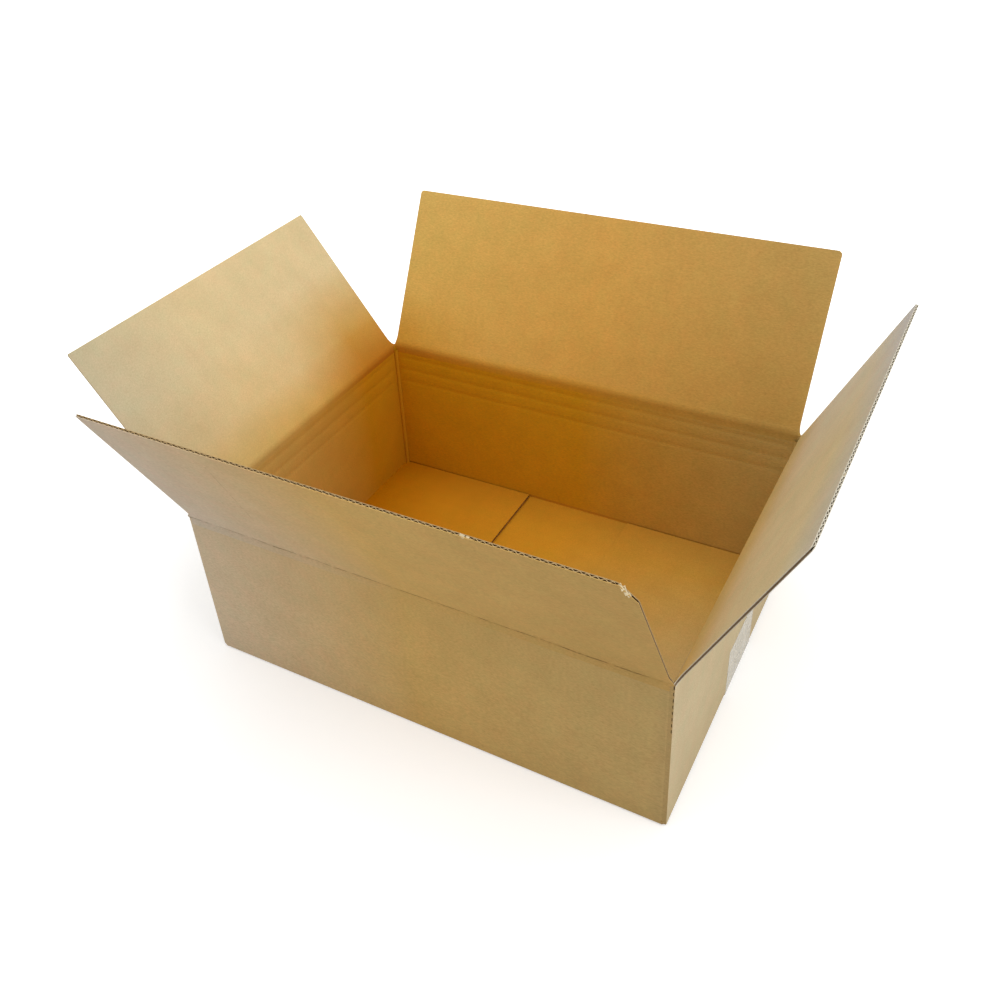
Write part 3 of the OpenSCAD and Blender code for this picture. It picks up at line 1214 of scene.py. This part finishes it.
def corner_turns(size):
    """Signs of each corner along X and Y, with the middle of its round."""
    for sign_x in (-1, 1):
        for sign_y in (-1, 1):
            yield sign_x, sign_y, sign_x * (HALF_L - size.fold_radius), sign_y * (HALF_W - size.fold_radius)


def raise_corners(liner, size):
    """Draws the wall corners up between the flaps, to the bottoms of the slots."""

    def in_corner(co):
        at_corner = abs(co.x) > LONG_SLOT - NEAR and abs(co.y) > SHORT_SLOT - 0.5 * MM
        return at_corner and abs(co.z - seam_z(size)) < NEAR

    pick(liner, in_corner)
    sweep((0, 0, LONG_Z - size.slot_drop - seam_z(size)))


def drop_corners(liner, size):
    """Draws the wall corners down between the bottom flaps, rounded in at their ends."""
    steps = 7
    rounding = 0.96
    depth = ring_z(size) - BASE_Z - 0.3 * MM
    girth = [math.sqrt(1 - (rounding * k / steps) ** 2) for k in range(steps + 1)]
    for sign_x, sign_y, turn_x, turn_y in corner_turns(size):
        joint = size.thickness if sign_x > sign_y else 0

        def in_corner(co):
            outside_x = sign_x * co.x > abs(turn_x) - joint - NEAR
            outside_y = sign_y * co.y > abs(turn_y) - NEAR
            return outside_x and outside_y and abs(co.z - ring_z(size)) < NEAR

        pick(liner, in_corner)
        for near, far in zip(girth, girth[1:]):
            sweep((0, 0, -depth / steps))
            grow = far / near
            bpy.ops.transform.resize(value=(grow, grow, 1), center_override=(turn_x, turn_y, 0))


def trim_tab(liner, size, inset):
    """Cuts the glue tab's top below the fold line."""
    tab_x = HALF_L - size.thickness - inset
    top = LONG_Z - 8 * MM
    start = -HALF_W + size.fold_radius + 0.2 * MM
    end = -HALF_W + size.tab_width

    def above(co):
        return abs(co.x - tab_x) < 0.1 * MM and start < co.y < end + NEAR and co.z > top

    pick(liner, above)
    bpy.ops.mesh.delete(type="EDGE_FACE")


def press_scores(liner, size):
    """Presses the scores into the inside of the walls."""
    for side, turn in SIDES.items():
        out = outward(turn)
        sideways = UP.cross(out)
        half, distance = (HALF_L, HALF_W) if side in LONG_SIDES else (HALF_W, HALF_L)
        reach = distance - size.thickness
        for score in score_heights(size):
            for step in range(1 - SCORE_ROWS, SCORE_ROWS):
                row = score + size.score_half * step / SCORE_ROWS

                def on_score(co):
                    on_wall = abs(co.z - row) < NEAR and abs(co.dot(out) - reach) < 0.05 * MM
                    return on_wall and abs(co.dot(sideways)) < score_end(half, size) + NEAR

                pick(liner, on_score)
                bpy.ops.transform.translate(value=out * size.score_depth * bell(step / SCORE_ROWS))


def slot_fills(size, paper):
    """Pressed paper that closes the board at the bottoms of the slots, dark as painted shadow in the slots.
    """
    made = []
    top = LONG_Z - size.slot_drop - 0.2 * MM
    thickness = size.thickness - 2 * size.liner - 0.1 * MM
    for sign_x, sign_y, turn_x, turn_y in corner_turns(size):
        fill = begin("slot_fill", (sign_x * LONG_SLOT, sign_y * (HALF_W - size.thickness / 2), top))
        draw((turn_x - sign_x * LONG_SLOT, 0, 0))
        draw_arc((turn_x, turn_y, 0), UP, -sign_x * sign_y * math.pi / 2)
        draw((0, sign_y * SHORT_SLOT - turn_y, 0))
        sweep_line([(0, 0, -3 * MM)])
        face_to(fill, lambda centre: Vector((centre.x, centre.y, 0)))
        dress(fill, paper)
        thicken(fill, thickness, 0)
        made.append(fill)
    return made


def joint_plugs(size, paper):
    """Pressed paper in the cut edge of the maker's joint: closed low down, broken up towards the fold."""
    made = []
    edge = -HALF_W + size.joint_setback
    inside = HALF_L - size.thickness - 1.3 * MM
    middle = HALF_L - 1.05 * MM
    outside = HALF_L - 0.3 * MM
    foot = BASE_Z + 2 * MM
    top = LONG_Z - size.slot_drop - 0.1 * MM
    broken_from = 75 * MM
    dash_gap, dash_pitch, dashes = 2.5 * MM, 4.4 * MM, 7
    strips = (
        (inside, middle, foot, top, 1),
        (middle, outside, foot, broken_from, 1),
        (middle, outside, broken_from + dash_gap, broken_from + dash_pitch, dashes),
    )
    for left, right, low, high, count in strips:
        rounded = 0.6 * MM if low == foot else 0.0
        plug = begin("joint_plug", (left, edge + rounded, low))
        draw((right - left, 0, 0))
        bend = [(0, -0.8 * rounded, rounded), (0, -0.2 * rounded, rounded)] if rounded else []
        sweep_line(bend + [(0, 0, high - low - 2 * rounded)])
        face_to(plug, lambda centre: Vector((0, -1, 0)))
        repeat(plug, count, (0, 0, dash_pitch))
        dress(plug, paper)
        thicken(plug, 0.4 * MM)
        made.append(plug)
    return made


def joint_foot(size, paper):
    """Rounded end of the corner at the maker's joint."""
    top = ring_z(size)
    spot = (HALF_L - size.fold_radius, -HALF_W + size.fold_radius, top)
    deselect()
    bpy.ops.mesh.primitive_uv_sphere_add(segments=24, ring_count=12, radius=1.0, location=spot)
    foot = bpy.context.object
    girth = size.fold_radius - 0.05 * MM
    foot.scale = (girth, girth, top - BASE_Z - 0.2 * MM)
    bpy.ops.object.transform_apply(location=True, rotation=True, scale=True)
    start_edit()
    cut_at(spot, UP, clear_outer=True, use_fill=True)
    finish_edit()
    dress(foot, paper)
    return foot


def bottom_flap(side, size, sheets):
    """One bottom flap: two liners bent in from the wall, and the fluted paper at its free edge."""
    radius = size.fold_radius
    length = HALF_W - 0.75 * MM
    if side in LONG_SIDES:
        half_width = HALF_L - radius - 0.3 * MM
        lift, distance, outside = BASE_Z, HALF_W, "outside_long"
    else:
        half_width = HALF_W - size.thickness - 0.7 * MM
        lift, distance, outside = BASE_Z + size.thickness, HALF_L, "outside_short"
    top = ring_z(size) - lift
    spring = math.radians(0.4) if side == "left" else 0.0
    columns = 10

    def set_in(piece):
        place(piece, (spring, 0, 0), (0, 0, 0))
        place(piece, (0, 0, SIDES[side]), outward(SIDES[side]) * distance + UP * lift)
        return piece

    made = []
    for inner in (False, True):
        liner = begin(side + "_bottom_liner", (-half_width, size.thickness if inner else 0.0, top))
        if top > radius + NEAR:
            draw((0, 0, radius - top))
        draw_arc((0, radius, radius), (-1, 0, 0), -math.pi / 2)
        draw((0, length - radius, 0))
        sweep_line([(2 * half_width / columns, 0, 0)] * columns)
        face_to(liner, lambda centre: UP if inner else -UP)
        # The dark seam paper on the rims is painted shadow in the seam between the bottom flaps
        dress(liner, sheets["floor" if inner else outside], sheets["medium"], sheets["seam"])
        thicken_liner(liner, size)
        made.append(set_in(liner))
    flutes = fluted_paper(side + "_bottom_flutes", size, half_width, radius + 1 * MM, length - 0.05 * MM)
    stiffen_flutes(flutes, size, sheets["medium"], sheets["seam"])
    place(flutes, (math.pi / 2, 0, math.pi), (0, 0, 0))
    made.append(set_in(flutes))
    return made


def corner_beads(size, paper):
    """The crushed bead that stands in three inner corners."""
    made = []
    random.seed(7)
    rows = 14
    uneven = 0.1
    rise = (seam_z(size) + 2 * MM - BASE_Z) / rows
    inset = size.thickness + 0.75 * MM
    for sign_x, sign_y in ((-1, -1), (-1, 1), (1, 1)):
        spot = (sign_x * (HALF_L - inset), sign_y * (HALF_W - inset), BASE_Z)
        deselect()
        bpy.ops.mesh.primitive_circle_add(vertices=16, radius=size.bead_radius, location=spot)
        bead = bpy.context.object
        bpy.ops.object.transform_apply(location=True)
        start_edit()
        girth = 1.0
        for _ in range(rows):
            sweep((0, 0, rise))
            grow = (1 + random.uniform(-uneven, uneven)) / girth
            bpy.ops.transform.resize(value=(grow, grow, 1))
            girth *= grow
        bpy.ops.mesh.select_all(action="SELECT")
        bpy.ops.mesh.normals_make_consistent(inside=False)
        finish_edit()
        dress(bead, paper)
        made.append(bead)
    return made


def lean_walls(piece, size):
    """Lets the feet of the walls stand out, as in a carton that isn't quite square."""
    height = seam_z(size)
    deselect()
    bpy.ops.object.add(type="LATTICE", location=(0, 0, height / 2))
    cage = bpy.context.object
    cage.scale = (2 * HALF_L, 2 * HALF_W, height)
    for direction in "uvw":
        setattr(cage.data, "interpolation_type_" + direction, "KEY_LINEAR")
    for point in cage.data.points:
        if point.co.z > 0:
            continue
        if point.co.x < 0:
            point.co_deform.x -= size.wall_lean / (2 * HALF_L)
        elif point.co.y < 0:
            point.co_deform.x += size.joint_lean / (2 * HALF_L)
        if point.co.y < 0:
            point.co_deform.y -= size.front_lean / (2 * HALF_W)
    bpy.context.view_layer.update()
    apply_modifier(piece, "LATTICE", object=cage)
    bpy.data.objects.remove(cage)


class CARTON_OT_shell(bpy.types.Operator):
    """Builds the walls, the glue tab, the inner corner beads and the bottom flaps"""

    bl_idname = "carton.shell"
    bl_label = "Carton Shell"

    def execute(self, context):
        size = context.scene.carton_board
        sheets = shell_papers(context)
        parts = [self.liner(size, sheets, inner) for inner in (False, True)]
        parts += joint_plugs(size, sheets["outside_long"])
        parts += slot_fills(size, sheets["slot"])
        parts.append(joint_foot(size, sheets["outside_long"]))
        for side in SIDES:
            parts += bottom_flap(side, size, sheets)
        parts += corner_beads(size, sheets["inside_short"])
        shell = joined("carton_shell", parts)
        lean_walls(shell, size)
        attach(shell, "carton")
        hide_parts("carton_body")
        return {"FINISHED"}

    def liner(self, size, sheets, inner):
        """One liner of the walls, with its papers by the side that a face is on."""
        inset = size.thickness if inner else 0.0
        liner = wall_liner(size, inset)
        raise_corners(liner, size)
        drop_corners(liner, size)
        trim_tab(liner, size, inset)
        if inner:
            press_scores(liner, size)
        radial = -1 if inner else 1
        face_to(liner, lambda centre: Vector((centre.x, centre.y, 0)) * radial)
        where = "inside" if inner else "outside"
        names = (where + "_long", "medium", "cut", where + "_short", "slot")
        dress(liner, *(sheets[name] for name in names))
        thicken_liner(liner, size)
        # The end walls take their own papers, painted light and shade copies of the long walls'; the front
        # corners' top rims take the dark slot paper, painted shadow in the slots
        for face in liner.data.polygons:
            if face.material_index == FACE and abs(face.normal.x) > 0.7:
                face.material_index = END_FACE
            elif face.material_index == CUT and face.center.z > SHORT_Z - 2 * MM:
                face.material_index = SLOT if face.center.y < 0 else FLUTES
        return liner


class CARTON_OT_tape(bpy.types.Operator):
    """Builds the packing tape under the bottom seam and up both end walls"""

    bl_idname = "carton.tape"
    bl_label = "Packing Tape"

    def execute(self, context):
        size = context.scene.carton_board
        turn_x = HALF_L - size.fold_radius
        turn_z = BASE_Z + size.fold_radius
        heights = [turn_z, 12 * MM, 24 * MM, TAPE_HIGH[2]]
        columns = 24
        tape = begin("tape_strip", (HALF_L + FILM, TAPE_LOW[1], TAPE_HIGH[2]))
        draw_stops((0, 0, 1), heights[::-1])
        draw_arc((turn_x, 0, turn_z), (0, 1, 0), math.pi / 2)
        draw_stops((1, 0, 0), [turn_x, 50 * MM, -50 * MM, -turn_x])
        draw_arc((-turn_x, 0, turn_z), (0, 1, 0), math.pi / 2)
        draw_stops((0, 0, 1), heights)
        sweep_line([(0, (TAPE_HIGH[1] - TAPE_LOW[1]) / columns, 0)] * columns)
        face_to(tape, lambda centre: Vector((centre.x, 0, centre.z - MIDDLE.z)))
        dress(tape, tape_film("tape_film", context.scene.carton_colours.tape))
        thicken(tape, FILM * 0.9)
        bpy.ops.object.shade_smooth_by_angle(angle=SMOOTH_ANGLE)
        lean_walls(tape, size)
        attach(tape, "carton")
        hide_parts("bottom_tape")
        return {"FINISHED"}


class CARTON_OT_stage(bpy.types.Operator):
    """Sets the pale floor, the soft lamps, the white world and the camera"""

    bl_idname = "carton.stage"
    bl_label = "Studio Stage"

    def execute(self, context):
        scene = context.scene
        scene.view_settings.view_transform = "Standard"
        self.floor()
        self.lamps()
        self.world(scene)
        self.camera(scene)
        return {"FINISHED"}

    def floor(self):
        """White floor that stays a little darker to the eye near the carton."""
        deselect()
        bpy.ops.mesh.primitive_plane_add(size=8.0)
        floor = bpy.context.object
        floor.name = "studio_floor"
        material = bpy.data.materials.new("floor_white")
        material.use_nodes = True
        tree = material.node_tree
        tree.nodes.clear()
        out = tree.nodes.new("ShaderNodeOutputMaterial")
        matte = node(material, "BsdfDiffuse", {"Color": (0.8, 0.8, 0.8, 1)}).outputs[0]
        away = node(material, "VectorMath", {0: object_place(material)}, operation="LENGTH").outputs["Value"]
        strength = spread(material, away, 0.22, 0.6, 0.42, 1.0)
        glow = node(material, "Emission", {"Color": (1, 1, 1, 1), "Strength": strength}).outputs[0]
        lit = node(material, "AddShader", {0: matte, 1: glow}).outputs[0]
        surface = node(material, "MixShader", {0: seen_directly(material), 1: matte, 2: lit}).outputs[0]
        tree.links.new(surface, out.inputs["Surface"])
        floor.data.materials.append(material)

    def lamps(self):
        """Two soft lamps, each given by its name, place, width and power."""
        lamps = (
            ("top_softbox", (0.0, -0.1, 2.2), 2.0, 24.0),
            ("right_softbox", (1.56, -0.25, 1.1), 1.2, 10.5),
        )
        for name, spot, width, power in lamps:
            deselect()
            bpy.ops.object.light_add(type="AREA", location=spot)
            lamp = bpy.context.object
            lamp.name = name
            lamp.data.size = width
            lamp.data.energy = power
            lamp.rotation_euler = (MIDDLE - Vector(spot)).to_track_quat("-Z", "Y").to_euler()

    def world(self, scene):
        """White world, seen at full strength and lighting at half of it."""
        world = bpy.data.worlds.new("studio_white")
        scene.world = world
        world.use_nodes = True
        back = world.node_tree.nodes["Background"]
        back.inputs["Color"].default_value = (1, 1, 1, 1)
        feed(world, back, Strength=spread(world, seen_directly(world), 0, 1, 0.5, 1.0))

    def camera(self, scene):
        """Camera above the front right corner."""
        spot = Vector((0.24013, -0.41247, 0.46131))
        look_along = Vector((-0.41845, 0.68169, -0.60016))
        roll = math.radians(-4.41)
        deselect()
        bpy.ops.object.camera_add(location=spot)
        camera = bpy.context.object
        camera.data.sensor_width = 36.0
        camera.data.lens = 35.59
        camera.data.shift_x = 0.0159
        camera.data.shift_y = -0.0161
        turn = look_along.to_track_quat("-Z", "Y") @ Euler((0, 0, roll)).to_quaternion()
        camera.rotation_euler = turn.to_euler()
        scene.camera = camera


class CARTON_PT_sidebar(bpy.types.Panel):
    """Lists the carton's sizes, colours and pieces"""

    bl_idname = "CARTON_PT_sidebar"
    bl_label = "Mailing Carton"
    bl_space_type = "VIEW_3D"
    bl_region_type = "UI"
    bl_category = "Carton"

    def draw(self, context):
        layout = self.layout
        for group in (context.scene.carton_board, context.scene.carton_colours):
            for key in group.__annotations__:
                layout.prop(group, key)
        layout.operator("carton.shell")
        layout.operator_menu_enum("carton.top_flap", "side")
        layout.operator("carton.tape")
        layout.operator("carton.stage")


CLASSES = (
    CartonBoard,
    CartonColours,
    CARTON_OT_shell,
    CARTON_OT_top_flap,
    CARTON_OT_tape,
    CARTON_OT_stage,
    CARTON_PT_sidebar,
)


def register():
    """Adds the classes, and the sizes and colours of the scene."""
    for cls in CLASSES:
        bpy.utils.register_class(cls)
    bpy.types.Scene.carton_board = bpy.props.PointerProperty(type=CartonBoard)
    bpy.types.Scene.carton_colours = bpy.props.PointerProperty(type=CartonColours)


def unregister():
    """Takes out what register added."""
    del bpy.types.Scene.carton_colours
    del bpy.types.Scene.carton_board
    for cls in reversed(CLASSES):
        bpy.utils.unregister_class(cls)


def main():
    """Builds the carton and its stage."""
    register()
    bpy.ops.carton.shell()
    for side in SIDES:
        bpy.ops.carton.top_flap(side=side)
    bpy.ops.carton.tape()
    bpy.ops.carton.stage()


if __name__ == "__main__":
    main()
